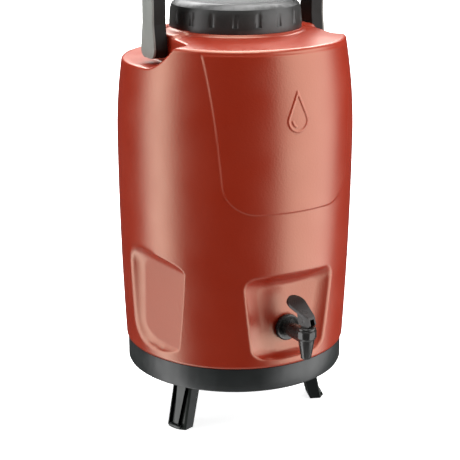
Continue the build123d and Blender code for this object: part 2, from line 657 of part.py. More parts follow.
def vent_plug():
    """A pull-up plug: a knob, a stem through the cap and a barb that stops it coming out."""
    plate_bottom = CAP_UNDERSIDE_Z
    barb_top = plate_bottom - VENT_TRAVEL - 0.2
    profile = [
        (0, barb_top - 5), (VENT_R - 1, barb_top - 5), (VENT_R + 1.6, barb_top),
        (VENT_R, barb_top), (VENT_R, VENT_SEAT_Z + 1.7), (VENT_HEAD_R, VENT_SEAT_Z + 1.7),
        (VENT_HEAD_R, VENT_SEAT_Z + 5.5), (VENT_HEAD_R - 1.5, VENT_SEAT_Z + 7), (0, VENT_SEAT_Z + 7.6),
    ]
    return Pos(0, VENT_Y, 0) * revolved(profile)


def vent_seal():
    return Pos(0, VENT_Y, 0) * tube(VENT_R + 2.6, VENT_R + 0.02, VENT_SEAT_Z + 0.05, VENT_SEAT_Z + 1.65)


# ---- faucet -------------------------------------------------------------------------------
def faucet_body():
    """Rosette, neck, upright barrel with its spout, and the shank through the wall."""
    rosette_front = ROSETTE_BACK_Y - 4.2
    profile = [
        (0, ROSETTE_BACK_Y), (ROSETTE_R, ROSETTE_BACK_Y), (ROSETTE_R, rosette_front + 1.2),
        (ROSETTE_R - 1.4, rosette_front), (ROSETTE_R - 3.0, rosette_front + 0.4),
        (NECK_TUBE_R + 1.8, rosette_front + 2.0), (NECK_TUBE_R + 0.4, rosette_front - 1.0),
        (NECK_TUBE_R, rosette_front - 5), (NECK_TUBE_R, BARREL_Y), (0, BARREL_Y),
    ]
    outline = Polyline([(r, y, 0) for r, y in profile], close=True)
    body = Pos(0, 0, FAUCET_Z) * revolve(make_face(outline), Axis.Y)
    body += ring_y(SHANK_R, 0, ROSETTE_BACK_Y - 1, SHANK_END_Y)
    upright = Pos(0, BARREL_Y, 0)
    head = revolved([
        (0, HEAD_BOTTOM_Z - 2), (BARREL_R, HEAD_BOTTOM_Z - 2), (HEAD_R, HEAD_BOTTOM_Z + 1),
        (HEAD_R, HEAD_TOP_Z - 2), (HEAD_R - 1.6, HEAD_TOP_Z), (0, HEAD_TOP_Z),
    ])
    facets = RegularPolygon(HEAD_R - 0.4, HEAD_SIDES, major_radius=False)
    head &= Pos(0, 0, HEAD_BOTTOM_Z - 4) * extrude(facets, 30)
    body += upright * head
    body += upright * revolved([
        (0, SPOUT_Z), (SPOUT_R - 0.6, SPOUT_Z), (SPOUT_R, SPOUT_Z + 0.8),
        (BARREL_R, HEAD_BOTTOM_Z), (0, HEAD_BOTTOM_Z),
    ])
    body -= upright * tube(CHAMBER_R, 0, SEAT_Z, HEAD_TOP_Z + 1)
    body -= upright * tube(SOCKET_R, 0, CHAMBER_TOP_Z, HEAD_TOP_Z + 1)
    body -= upright * revolved([
        (0, SPOUT_Z - 1), (SPOUT_R - 1.3, SPOUT_Z - 1), (SPOUT_R - 2.2, SEAT_Z + 1), (0, SEAT_Z + 1),
    ])
    body -= ring_y(SHANK_BORE_R, 0, BARREL_Y, SHANK_END_Y + 1)
    return body


def faucet_bonnet():
    """The cap that keeps the stem upright; it can be turned in the barrel's head."""
    plug_bottom = CHAMBER_TOP_Z + RUNNING
    body = revolved([
        (0, plug_bottom), (SOCKET_R - RUNNING, plug_bottom), (SOCKET_R - RUNNING, HEAD_TOP_Z + RUNNING),
        (BONNET_R, HEAD_TOP_Z + RUNNING), (BONNET_R, BONNET_TOP_Z - 1), (BONNET_R - 1, BONNET_TOP_Z),
        (0, BONNET_TOP_Z),
    ])
    body -= tube(STEM_R + RUNNING, 0, CHAMBER_TOP_Z - 1, BONNET_TOP_Z + 1)
    return Pos(0, BARREL_Y, 0) * body


def lever_frame():
    """Plane across the lever: x runs back along the lever, y runs up, the origin is the pin."""
    yaw = radians(LEVER_YAW)
    return Plane(
        origin=(0, BARREL_Y, LEVER_PIN_Z),
        x_dir=(-sin(yaw), cos(yaw), 0),
        z_dir=(cos(yaw), sin(yaw), 0),
    )


def faucet_stem():
    top = LEVER_PIN_Z + STEM_ABOVE_PIN
    body = Pos(0, BARREL_Y, 0) * tube(STEM_R, 0, STEM_BOTTOM_Z, top)
    return body - lever_frame() * Cylinder(LEVER_PIN_R + 0.02, 40)


def faucet_seat_cup():
    body = revolved([
        (0, SEAT_Z + 0.05), (CUP_R - 2, SEAT_Z + 0.05), (CUP_R, SEAT_Z + 2),
        (CUP_R, CUP_TOP_Z), (0, CUP_TOP_Z),
    ])
    body -= tube(STEM_R + 0.02, 0, STEM_BOTTOM_Z - 0.02, CUP_TOP_Z + 1)
    return Pos(0, BARREL_Y, 0) * body


def faucet_spring():
    """Presses the seat cup down; its upper end bears on the bonnet."""
    bottom = CUP_TOP_Z + SPRING_WIRE_R + 0.1
    height = CHAMBER_TOP_Z - SPRING_WIRE_R - bottom
    path = Helix(pitch=height / SPRING_TURNS, height=height, radius=SPRING_R)
    section = Plane(origin=path @ 0, z_dir=path % 0) * Circle(SPRING_WIRE_R)
    return Pos(0, BARREL_Y, bottom) * sweep(section, path=path, is_frenet=True)


def cam_point(angle):
    """A point of the heel's cam face, whose distance from the pin grows evenly with the turn."""
    reach = LEVER_PIN_Z - BONNET_TOP_Z - RUNNING + CAM_RATE * angle
    x = -reach * sin(angle) - CAM_RATE * cos(angle)
    y = -reach * cos(angle) + CAM_RATE * sin(angle)
    return (x, y)


def lever_paddle():
    """The flat paddle: narrow over the heel, widening to a round end."""
    front = make_face(Polyline([
        (0, -LEVER_W / 2), (2, -LEVER_W / 2), (2, LEVER_W / 2), (0, LEVER_W / 2),
    ], close=True))
    end = Pos(LEVER_LENGTH - PADDLE_END_R, 0) * Circle(PADDLE_END_R)
    plan = make_hull((front + end).edges())
    front_x, front_y = LEVER_TOP_FRONT
    top_frame = Pos(front_x, front_y, 0) * Rot(0, 0, LEVER_RISE) * Rot(90, 0, 0)
    plate = extrude(plan, LEVER_T)
    return lever_frame() * top_frame * plate


def lever_heel():
    """The block under the paddle's front end, with the cam face on its front and bottom."""
    rise = radians(LEVER_RISE)
    front_x, front_y = LEVER_TOP_FRONT
    cam = Spline([cam_point(radians(CAM_ANGLE) * step / CAM_STEPS) for step in range(CAM_STEPS + 1)])
    top_back = (HEEL_ROOT[0] + LEVER_T * sin(rise), HEEL_ROOT[1] + 1)
    outline = cam + Polyline(
        cam @ 1,
        (front_x - 0.4, front_y - 1.2),
        (front_x, front_y),
        top_back,
        HEEL_ROOT,
        HEEL_BACK,
        (2.5, cam_point(0)[1]),
        cam @ 0,
    )
    return extrude(lever_frame() * make_face(outline), LEVER_W / 2, both=True)


def faucet_lever():
    slot_x = FORK_BACK - 10
    slot_y = FORK_CEILING - 10
    slot = Pos(slot_x, slot_y, 0) * Box(20, 20, FORK_GAP) + Cylinder(FORK_ROUND_R, FORK_GAP)
    body = lever_paddle() + lever_heel()
    body -= lever_frame() * slot
    body -= lever_frame() * Cylinder(LEVER_PIN_R + RUNNING, 40)
    return body


def faucet_lever_pin():
    return lever_frame() * Cylinder(LEVER_PIN_R, LEVER_W - 0.8)


def faucet_nut():
    front = LINER_PAD_Y + INNER_WASHER_T + 0.2
    plane = Plane(origin=(0, front, FAUCET_Z), x_dir=(1, 0, 0), z_dir=(0, 1, 0))
    body = extrude(plane * RegularPolygon(NUT_FLAT_R, 6, major_radius=False), NUT_T)
    return body - ring_y(SHANK_R + RUNNING, 0, front - 2, front + NUT_T + 4)


def faucet_washer(y_front, thickness):
    return ring_y(WASHER_R, SHANK_R + RUNNING, y_front, y_front + thickness)


PARTS = {
    "outer_shell": outer_shell,
    "foam_insulation": foam_insulation,
    "inner_liner": inner_liner,
    "base_ring": base_ring,
    "leg_hinge_pins": leg_hinge_pins,
    "base_screws": base_screws,
    "handle": handle,
    "handle_pivot_pins": handle_pivot_pins,
    "handle_washers": handle_washers,
    "lid_cap": lid_cap,
    "lid_inner": lid_inner,
    "lid_foam": lid_foam,
    "lid_gasket": lid_gasket,
    "vent_plug": vent_plug,
    "vent_seal": vent_seal,
    "faucet_body": faucet_body,
    "faucet_bonnet": faucet_bonnet,
    "faucet_stem": faucet_stem,
    "faucet_seat_cup": faucet_seat_cup,
    "faucet_spring": faucet_spring,
    "faucet_lever": faucet_lever,
    "faucet_lever_pin": faucet_lever_pin,
    "faucet_nut": faucet_nut,
    "faucet_washer_outer": lambda: faucet_washer(ROSETTE_BACK_Y + 0.05, OUTER_WASHER_T),
    "faucet_washer_inner": lambda: faucet_washer(LINER_PAD_Y + 0.1, INNER_WASHER_T),
}
for leg_name, leg_bearing in LEG_BEARINGS.items():
    PARTS[leg_name] = lambda bearing=leg_bearing: at_bearing(leg(), bearing)

os.makedirs("parts", exist_ok=True)
for part_name, make in PARTS.items():
    export_step(make(), "parts/" + part_name + ".step")
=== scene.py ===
"""The looks of an insulated beverage dispenser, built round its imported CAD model.

Lengths inside the shape functions are millimetres, as in the CAD; MM turns them into metres.
A bearing is an angle round +Z from the front (-Y) towards +X.
"""

import json
from math import cos, pi, radians, sin

import bpy
import numpy as np
from mathutils import Matrix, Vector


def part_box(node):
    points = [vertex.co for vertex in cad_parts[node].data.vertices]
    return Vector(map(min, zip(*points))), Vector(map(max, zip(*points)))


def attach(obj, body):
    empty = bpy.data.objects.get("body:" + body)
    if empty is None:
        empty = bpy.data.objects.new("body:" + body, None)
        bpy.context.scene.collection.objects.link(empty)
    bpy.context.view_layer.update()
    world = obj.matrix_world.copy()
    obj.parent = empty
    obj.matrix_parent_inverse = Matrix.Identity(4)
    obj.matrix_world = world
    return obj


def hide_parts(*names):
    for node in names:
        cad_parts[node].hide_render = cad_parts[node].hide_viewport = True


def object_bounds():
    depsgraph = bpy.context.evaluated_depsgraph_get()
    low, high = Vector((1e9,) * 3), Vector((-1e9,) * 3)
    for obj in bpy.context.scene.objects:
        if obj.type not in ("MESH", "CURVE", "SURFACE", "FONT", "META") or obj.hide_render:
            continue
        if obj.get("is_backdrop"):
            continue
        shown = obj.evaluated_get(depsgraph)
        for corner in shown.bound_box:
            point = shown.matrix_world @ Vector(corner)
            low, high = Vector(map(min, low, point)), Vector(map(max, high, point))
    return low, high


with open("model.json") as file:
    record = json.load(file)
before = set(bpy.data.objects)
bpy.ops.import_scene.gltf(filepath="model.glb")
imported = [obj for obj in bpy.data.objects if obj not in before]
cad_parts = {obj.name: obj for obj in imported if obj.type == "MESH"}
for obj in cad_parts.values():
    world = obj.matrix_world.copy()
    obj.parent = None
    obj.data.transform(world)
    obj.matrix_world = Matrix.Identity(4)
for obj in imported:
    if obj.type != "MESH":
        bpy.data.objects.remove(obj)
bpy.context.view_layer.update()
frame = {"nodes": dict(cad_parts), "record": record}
nodes = frame["nodes"]
MM = 0.001


def node_box(name):
    """A CAD node's lowest and highest corners, in millimetres."""
    low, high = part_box(name)
    return low / MM, high / MM


shell_low, shell_high = node_box("outer_shell")
arm_low, arm_high = node_box("handle")
washer_back = node_box("faucet_washer_outer")[1].y
spacer_side = node_box("handle_washers")[1].x

# ---- the shell's shape --------------------------------------------------------------------
# The barrel: two arcs that meet at the belly.
BELLY_R = shell_high.x
FOOT_Z = shell_low.z
BELLY_Z = FOOT_Z + 260.0
LOWER_ARC_R = 4900.0
UPPER_ARC_R = 653.0
FOOT_ROUND = 4.0
WALL = 3.0

# The shoulder slopes up from the rim to the collar under the lid.
COLLAR_TOP = shell_high.z
COLLAR_FOOT_Z = COLLAR_TOP - 2.8
COLLAR_R = 81.0
COLLAR_TOP_ROUND = 0.8
COLLAR_FILLET = 5.0
RIM_Z = COLLAR_TOP - 9.6
RIM_R = 131.0                      # where the rounded rim meets the shoulder
RIM_ROUND = 3.5
MOUTH_R = 72.0
SHOULDER_SLOPE = (COLLAR_FOOT_Z - RIM_Z) / (RIM_R - COLLAR_R)

# The raised front panel.
PANEL_STEP = 1.0
PANEL_TOP_Z = 407.0
PANEL_BOTTOM_Z = 224.0
PANEL_TAPER_Z = 408.0              # the height its half width is given at
PANEL_TOP_HALF = 97.4
PANEL_TAPER = 0.084
PANEL_CORNER_R = 34.0
PANEL_EDGE = 1.7                   # how far its step is spread

# The water drop on the panel.
DROP_Z = 340.0
DROP_BULB_R = 12.5
DROP_BULB_BELOW = 8.0
DROP_TIP = 24.0
DROP_LINE = 1.1                    # half the width of its outline
DROP_HEIGHT = 0.8
GLINT_R = 7.2
GLINT_LINE = 0.9
GLINT_BEARING = -2.5
GLINT_HALF = 0.62

# The faucet recess.
RECESS_FLOOR = washer_back - 0.05
RECESS_TOP_Z = 134.0
RECESS_BOTTOM_Z = 45.0
RECESS_TOP_SAG = 5.5               # how far its top edge rises at the sides
RECESS_SAG_AT = 55.0
RECESS_HALF = 40.0
RECESS_WIDENING = 0.152
RECESS_CORNER_R = 11.0
RECESS_FLOOR_R = 5.0
RECESS_EDGE_R = 2.2

# The hand grips.
GRIP_BEARING = radians(76.9)
GRIP_FLAT = 131.7
GRIP_REAR = -27.0
GRIP_TOP_Z = 161.0
GRIP_TOP_SLOPE = 0.10
GRIP_BOTTOM_Z = 53.0
GRIP_BOTTOM_SLOPE = 0.17
GRIP_SLOPED_LENGTH = 45.0
GRIP_CORNER_R = 16.0
GRIP_FLOOR_R = 5.0
GRIP_EDGE_R = 3.0                  # its rim's rounding at the rear, and how much is lost in front
GRIP_EDGE_LOSS = 2.9
GRIP_EDGE_FROM = 5.0
GRIP_EDGE_OVER = 15.0

# The notches for the handle's arms, and the raised pads the arms stand against.
NOTCH_WALL = spacer_side - 1.4 - 0.1
NOTCH_FLOOR = arm_low.z - 6.0
NOTCH_FRONT = 45.5
NOTCH_LEAN = 0.58
NOTCH_FRONT_SHARE = 0.87           # turns a distance along y into one square to the leaning wall
NOTCH_CORNER_R = 17.0
NOTCH_WALL_R = 4.0
NOTCH_EDGE_R = 3.0
PAD_HALF = 23.0
PAD_INNER = 60.0
PAD_PAST_WALL = 2.0
PAD_BELOW_COLLAR = 1.0
PAD_SLOPE = 0.10
PAD_EDGE_R = 2.5
PAD_FILLET = 7.0


def round_max(a, b, r):
    """Where two distance fields both hold, with the edge between them rounded to radius r."""
    return np.minimum(np.maximum(a, b), -r) + np.hypot(np.maximum(a + r, 0), np.maximum(b + r, 0))


def round_min(a, b, r):
    """Two distance fields joined, with a fillet of radius r between them."""
    return -round_max(-a, -b, r)


def soft_step(x):
    """0 to 1 along a smooth curve, held beyond both ends."""
    t = np.clip(x, 0, 1)
    return t * t * (3 - 2 * t)


def barrel_r(z):
    """The plain barrel's radius at a height."""
    arc = np.where(z < BELLY_Z, LOWER_ARC_R, UPPER_ARC_R)
    return BELLY_R - (z - BELLY_Z) ** 2 / (2 * arc)


def panel_height(x, y, z):
    """The raised front panel: a tall trapezoid with round lower corners."""
    half = PANEL_TOP_HALF - PANEL_TAPER * (PANEL_TAPER_Z - z)
    side = np.abs(x) - half
    ends = np.maximum(PANEL_BOTTOM_Z - z, z - PANEL_TOP_Z)
    outline = np.maximum(round_max(side, PANEL_BOTTOM_Z - z, PANEL_CORNER_R), ends)
    height = PANEL_STEP * soft_step(0.5 - outline / PANEL_EDGE)
    return np.where(y < 0, height, 0.0)


def motif_height(x, y, z):
    """A plain water drop in raised outline, with a small glint inside it."""
    u = np.abs(np.arctan2(x, -y)) * BELLY_R
    v = z - DROP_Z
    from_bulb = np.hypot(u, v + DROP_BULB_BELOW)
    flank_angle = np.arcsin(DROP_BULB_R / (DROP_TIP + DROP_BULB_BELOW))
    flank = u * np.cos(flank_angle) - (DROP_TIP - v) * np.sin(flank_angle)
    tangent_v = -DROP_BULB_BELOW + DROP_BULB_R * np.sin(flank_angle)
    drop = np.where(v > tangent_v, flank, from_bulb - DROP_BULB_R)
    line = np.abs(drop) - DROP_LINE
    glint_angle = np.arctan2(v + DROP_BULB_BELOW, np.arctan2(x, -y) * BELLY_R)
    glint = np.abs(from_bulb - GLINT_R) - GLINT_LINE
    glint = np.maximum(glint, (np.abs(glint_angle - GLINT_BEARING) - GLINT_HALF) * GLINT_R)
    height = DROP_HEIGHT * soft_step(0.5 - np.minimum(line, glint))
    return np.where(y < 0, height, 0.0)


def recess_field(x, y, z):
    """The faucet recess: a flat floor facing the front, with sloping sides."""
    depth = y - RECESS_FLOOR
    top_z = RECESS_TOP_Z + RECESS_TOP_SAG * (x / RECESS_SAG_AT) ** 2
    half = RECESS_HALF + (z - RECESS_BOTTOM_Z) * RECESS_WIDENING
    side = 0.45 * (np.abs(x) - half) + 0.89 * depth
    top = 0.786 * (z - top_z) + 0.618 * depth
    bottom = 0.942 * (RECESS_BOTTOM_Z - z) + 0.336 * depth
    rim = round_max(side, np.maximum(top, bottom), RECESS_CORNER_R)
    return round_max(rim, depth, RECESS_FLOOR_R)


def along_grip(x, y):
    """How far forward a point is along the hand grips' flats."""
    return -y * np.sin(GRIP_BEARING) - np.abs(x) * np.cos(GRIP_BEARING)


def grip_field(x, y, z):
    """The hand grips: a flat on each side, deepest at its rear end."""
    across = np.abs(x) * np.sin(GRIP_BEARING) - y * np.cos(GRIP_BEARING)
    depth = GRIP_FLAT - across
    forward = along_grip(x, y) - GRIP_REAR
    rear = 0.87 * depth - 0.50 * forward
    top_z = GRIP_TOP_Z - GRIP_TOP_SLOPE * forward
    low_z = GRIP_BOTTOM_Z - GRIP_BOTTOM_SLOPE * np.clip(forward, 0, GRIP_SLOPED_LENGTH)
    top = 0.80 * (z - top_z) + 0.60 * depth
    bottom = 0.80 * (low_z - z) + 0.60 * depth
    rim = round_max(rear, np.maximum(top, bottom), GRIP_CORNER_R)
    return round_max(rim, depth, GRIP_FLOOR_R)


def notch_field(x, y, z):
    """Where the handle's arms stand, open behind onto a ledge round the back of the shoulder."""
    side = NOTCH_FRONT_SHARE * (-y - NOTCH_FRONT - NOTCH_LEAN * (z - NOTCH_FLOOR))
    u_shape = round_max(side, NOTCH_FLOOR - z, NOTCH_CORNER_R)
    reach = np.hypot(x, np.maximum(y, 0.0))
    return round_max(u_shape, NOTCH_WALL - reach, NOTCH_WALL_R)


def pad_field(x, y, z):
    """The raised pads between the collar and the handle's arms."""
    top_z = COLLAR_TOP - PAD_BELOW_COLLAR - PAD_SLOPE * np.maximum(np.abs(x) - COLLAR_R, 0)
    ends = np.maximum(np.abs(x) - NOTCH_WALL - PAD_PAST_WALL, PAD_INNER - np.abs(x))
    return round_max(np.maximum(np.abs(y) - PAD_HALF, ends), z - top_z, PAD_EDGE_R)


def shell_field(x, y, z):
    """Distance from the shell's outside, negative inside it."""
    r = np.hypot(x, y)
    wall = r - barrel_r(z) - panel_height(x, y, z) - motif_height(x, y, z)
    shoulder = (z - RIM_Z - (RIM_R - r) * SHOULDER_SLOPE) / np.sqrt(1 + SHOULDER_SLOPE ** 2)
    body = round_max(wall, shoulder, RIM_ROUND)
    body = round_max(body, FOOT_Z - z, FOOT_ROUND)
    collar = round_max(r - COLLAR_R, z - COLLAR_TOP, COLLAR_TOP_ROUND)
    body = round_min(body, collar, COLLAR_FILLET)
    body = round_min(body, pad_field(x, y, z), PAD_FILLET)
    body = round_max(body, -recess_field(x, y, z), RECESS_EDGE_R)
    fading = soft_step((along_grip(x, y) - GRIP_EDGE_FROM) / GRIP_EDGE_OVER)
    body = round_max(body, -grip_field(x, y, z), GRIP_EDGE_R - GRIP_EDGE_LOSS * fading)
    return round_max(body, -notch_field(x, y, z), NOTCH_EDGE_R)


def spaced(stops):
    """Positions along a line from (start, end, step) stretches, without doubled ends."""
    out = []
    for start, end, step in stops:
        count = max(1, round(abs(end - start) / step))
        out.extend(start + (end - start) * k / count for k in range(count))
    out.append(stops[-1][1])
    return np.array(out)


def guide_rows(stops, top_steps):
    """Targets on the plain barrel's outline, from the foot up to the mouth, as (radius, height)."""
    edge_r = float(barrel_r(FOOT_Z))
    rows = [(r, FOOT_Z) for r in spaced([(edge_r - WALL + 1.0, edge_r, 0.5)])[:-1]]
    rows += [(float(barrel_r(z)), z) for z in spaced(stops)]
    shoulder = spaced([(RIM_R + 1.5, RIM_R - 6.0, 0.8), (RIM_R - 6.0, COLLAR_R + 8.0, top_steps),
                       (COLLAR_R + 8.0, COLLAR_R, 0.8)])
    rows += [(r, RIM_Z + (RIM_R - r) * SHOULDER_SLOPE) for r in shoulder[:-1]]
    rows += [(COLLAR_R, z) for z in spaced([(COLLAR_FOOT_Z, COLLAR_TOP, 0.6)])[:-1]]
    rows += [(r, COLLAR_TOP) for r in spaced([(COLLAR_R, MOUTH_R, 1.5)])]
    return np.array(rows)


def traced_surface(bearings, rows, level):
    """A grid of points where rays from inside the body reach the shell field's level."""
    low_z, high_z = 40.0, 370.0
    start_r = np.where(rows[:, 1] < low_z, 108.0, 60.0)
    start_z = np.clip(rows[:, 1], low_z - 2.0, high_z)
    ray = rows - np.stack([start_r, start_z], 1)
    ray /= np.linalg.norm(ray, axis=1)[:, None]
    out_x, out_y = np.sin(bearings)[None, :], -np.cos(bearings)[None, :]
    travel = np.zeros((len(rows), len(bearings)))
    for _ in range(90):
        r = start_r[:, None] + travel * ray[:, 0][:, None]
        z = start_z[:, None] + travel * ray[:, 1][:, None]
        step = level - shell_field(r * out_x, r * out_y, z)
        travel += 0.85 * step
        if np.abs(step).max() < 0.002:
            break
    r = start_r[:, None] + travel * ray[:, 0][:, None]
    z = start_z[:, None] + travel * ray[:, 1][:, None]
    return np.stack([r * out_x, r * out_y, z], -1)


def new_object(name, points, faces, smooth=True):
    """A mesh object from points in millimetres."""
    mesh = bpy.data.meshes.new(name)
    mesh.from_pydata([tuple(p) for p in np.asarray(points, float) * MM], [], faces)
    mesh.validate()
    for polygon in mesh.polygons:
        polygon.use_smooth = smooth
    mesh.update()
    obj = bpy.data.objects.new(name, mesh)
    bpy.context.scene.collection.objects.link(obj)
    return obj


def band_faces(rows, columns, first=0):
    """Quads of a closed ring of columns by rows of points, wound to face outwards."""
    faces = []
    for i in range(rows - 1):
        a = first + i * columns
        b = a + columns
        for j in range(columns):
            k = (j + 1) % columns
            faces.append((a + j, a + k, b + k, b + j))
    return faces


# Stretches of bearing, as (start, end, step) in degrees: finest over the panel's edges.
COLUMN_STEPS = (
    (-180.0, -112.0, 2.0), (-112.0, -61.0, 0.7), (-61.0, -50.0, 0.3), (-50.0, -36.0, 0.5),
    (-36.0, 36.0, 0.42), (36.0, 50.0, 0.5), (50.0, 61.0, 0.3), (61.0, 112.0, 0.7),
    (112.0, 180.0, 2.0),
)


def build_shell():
    """The moulded outer shell: a fine outside, a plain inside and closed lips."""
    bearings = radians(1) * spaced(COLUMN_STEPS)[:-1]
    rows = guide_rows([(FOOT_Z + 0.8, 168.0, 1.3), (168.0, 220.0, 3.0), (220.0, 245.0, 1.0),
                       (245.0, 318.0, 3.0), (318.0, 366.0, 0.9), (366.0, RIM_Z - 1.0, 1.3)], 1.6)
    outside = traced_surface(bearings, rows, 0.0)
    inner_rows = guide_rows([(FOOT_Z + 8.0, 168.0, 6.0), (168.0, 366.0, 14.0),
                             (366.0, RIM_Z - 4.0, 5.0)], 9.0)
    keep = (inner_rows[:, 1] > FOOT_Z) & (inner_rows[:, 0] > MOUTH_R + 2.0)
    inside = traced_surface(bearings, inner_rows[keep], -WALL)
    ring = np.stack([np.sin(bearings), -np.cos(bearings)], 1)
    lip = np.concatenate([ring * MOUTH_R, np.full((len(bearings), 1), COLLAR_TOP - WALL)], 1)
    foot = inside[0].copy()
    foot[:, 2] = FOOT_Z
    sheets = np.concatenate([outside, lip[None], inside[::-1], foot[None]])
    count, columns = sheets.shape[:2]
    faces = band_faces(count, columns)
    last = (count - 1) * columns
    faces += [(last + j, last + (j + 1) % columns, (j + 1) % columns, j) for j in range(columns)]
    return new_object("shell_skin", sheets.reshape(-1, 3), faces)


# ---- materials ----------------------------------------------------------------------------
class Nodes:
    """Short calls for building a material's node tree."""

    def __init__(self, name):
        self.material = bpy.data.materials.new(name)
        self.material.use_nodes = True
        self.tree = self.material.node_tree
        self.shader = self.tree.nodes["Principled BSDF"]
        self.place = self.add("ShaderNodeTexCoord").outputs["Object"]

    def add(self, kind, **settings):
        node = self.tree.nodes.new(kind)
        for key, value in settings.items():
            if hasattr(node, key):
                setattr(node, key, value)
            else:
                node.inputs[key.replace("_", " ")].default_value = value
        return node

    def link(self, output, target):
        self.tree.links.new(output, target)

    def noise(self, scale, detail=3.0):
        node = self.add("ShaderNodeTexNoise", Scale=scale, Detail=detail, Roughness=0.5)
        self.link(self.place, node.inputs["Vector"])
        return node.outputs["Fac"]

    def cells(self, scale, feature="F1"):
        node = self.add("ShaderNodeTexVoronoi", feature=feature, Scale=scale)
        self.link(self.place, node.inputs["Vector"])
        return node.outputs["Distance"]

    def spread(self, value, low, high, to_low=0.0, to_high=1.0):
        """Stretch a range of a value onto another, clamped."""
        node = self.add("ShaderNodeMapRange")
        ends = {"From Min": low, "From Max": high, "To Min": to_low, "To Max": to_high}
        for key, number in ends.items():
            node.inputs[key].default_value = number
        self.link(value, node.inputs["Value"])
        return node.outputs["Result"]

    def mix(self, factor, first, second):
        """Mix two colours, each a constant or an output."""
        node = self.add("ShaderNodeMix", data_type="RGBA")
        self.link(factor, node.inputs["Factor"])
        for slot, value in (("A", first), ("B", second)):
            socket = [s for s in node.inputs if s.name == slot and s.type == "RGBA"][0]
            if isinstance(value, tuple):
                socket.default_value = (*value, 1.0)
            else:
                self.link(value, socket)
        return [s for s in node.outputs if s.type == "RGBA"][0]

    def maths(self, operation, first, second):
        node = self.add("ShaderNodeMath", operation=operation)
        for socket, value in zip(node.inputs, (first, second)):
            if isinstance(value, (int, float)):
                socket.default_value = value
            else:
                self.link(value, socket)
        return node.outputs["Value"]

    def bump(self, height, distance, strength=1.0, after=None):
        node = self.add("ShaderNodeBump", Distance=distance, Strength=strength)
        self.link(height, node.inputs["Height"])
        if after is not None:
            self.link(after, node.inputs["Normal"])
        return node.outputs["Normal"]

    def edges(self, low=0.52, high=0.60):
        """Near 1 on outer edges, where handling wears a surface."""
        return self.spread(self.add("ShaderNodeNewGeometry").outputs["Pointiness"], low, high)

    def finish(self, colour, roughness, normal=None, **inputs):
        self.link(colour, self.shader.inputs["Base Color"])
        self.link(roughness, self.shader.inputs["Roughness"])
        if normal is not None:
            self.link(normal, self.shader.inputs["Normal"])
        for key, value in inputs.items():
            self.shader.inputs[key.replace("_", " ")].default_value = value
        return self.material


def red_plastic():
    """Orange-red moulded plastic with a fine pebble grain."""
    n = Nodes("red_plastic")
    drift = n.spread(n.noise(7.0, 4.0), 0.35, 0.65)
    tone = n.mix(drift, (0.325, 0.0170, 0.0034), (0.350, 0.0195, 0.0040))
    fleck = n.spread(n.noise(900.0, 2.0), 0.62, 0.78, 0.0, 0.35)
    tone = n.mix(fleck, tone, (0.23, 0.012, 0.003))
    tone = n.mix(n.maths("MULTIPLY", n.edges(), 0.2), tone, (0.42, 0.07, 0.04))
    rough = n.spread(n.noise(26.0, 5.0), 0.3, 0.7, 0.28, 0.35)
    pebble = n.cells(480.0, "SMOOTH_F1")
    fine = n.noise(1500.0, 2.0)
    grain = n.maths("ADD", pebble, n.maths("MULTIPLY", fine, 0.15))
    normal = n.bump(grain, 0.00024, 0.35)
    normal = n.bump(n.noise(38.0, 2.0), 0.0006, 0.10, normal)
    return n.finish(tone, rough, normal, IOR=1.6, Specular_IOR_Level=1.0,
                    Specular_Tint=(1.0, 0.78, 0.58, 1.0))


def dark_plastic(name, colour, roughness, grain=0.10, specular=0.5):
    """Black or grey moulded plastic, satin, a little paler at its edges."""
    n = Nodes(name)
    light = tuple(min(1.0, c * 1.35 + 0.004) for c in colour)
    tone = n.mix(n.spread(n.noise(18.0, 4.0), 0.35, 0.65), colour, light)
    worn = tuple(c * 2.2 + 0.02 for c in colour)
    tone = n.mix(n.maths("MULTIPLY", n.edges(), 0.35), tone, worn)
    rough = n.spread(n.noise(60.0, 5.0), 0.3, 0.7, roughness - 0.05, roughness + 0.06)
    normal = n.bump(n.noise(1300.0, 3.0), 0.00010, grain)
    normal = n.bump(n.noise(45.0, 2.0), 0.0004, 0.06, normal)
    return n.finish(tone, rough, normal, Specular_IOR_Level=specular)


def leg_plastic():
    """Black moulded plastic, textured on its sides and polished on its outer face, where a paler tone
    is a painted highlight.
    """
    n = Nodes("leg_grey")
    flat = n.add("ShaderNodeVectorMath", operation="MULTIPLY")
    n.link(n.place, flat.inputs[0])
    flat.inputs[1].default_value = (1.0, 1.0, 0.0)
    outward = n.add("ShaderNodeVectorMath", operation="NORMALIZE")
    n.link(flat.outputs[0], outward.inputs[0])
    facing = n.add("ShaderNodeVectorMath", operation="DOT_PRODUCT")
    n.link(outward.outputs[0], facing.inputs[0])
    n.link(n.add("ShaderNodeTexCoord").outputs["Normal"], facing.inputs[1])
    outer = n.spread(facing.outputs["Value"], 0.80, 0.92)
    drift = n.spread(n.noise(18.0, 4.0), 0.35, 0.65)
    tone = n.mix(drift, (0.008, 0.010, 0.010), (0.013, 0.015, 0.015))
    # Painted highlight: the outward faces are made paler, standing in for the soft box they reflect.
    tone = n.mix(outer, tone, (0.030, 0.035, 0.031))
    tone = n.mix(n.maths("MULTIPLY", n.edges(), 0.30), tone, (0.050, 0.054, 0.052))
    rough = n.spread(n.noise(60.0, 5.0), 0.3, 0.7, 0.26, 0.35)
    n.link(n.spread(outer, 0.0, 1.0, 0.10, 0.40), n.shader.inputs["Specular IOR Level"])
    return n.finish(tone, rough, n.bump(n.noise(1300.0, 3.0), 0.00010, 0.12))


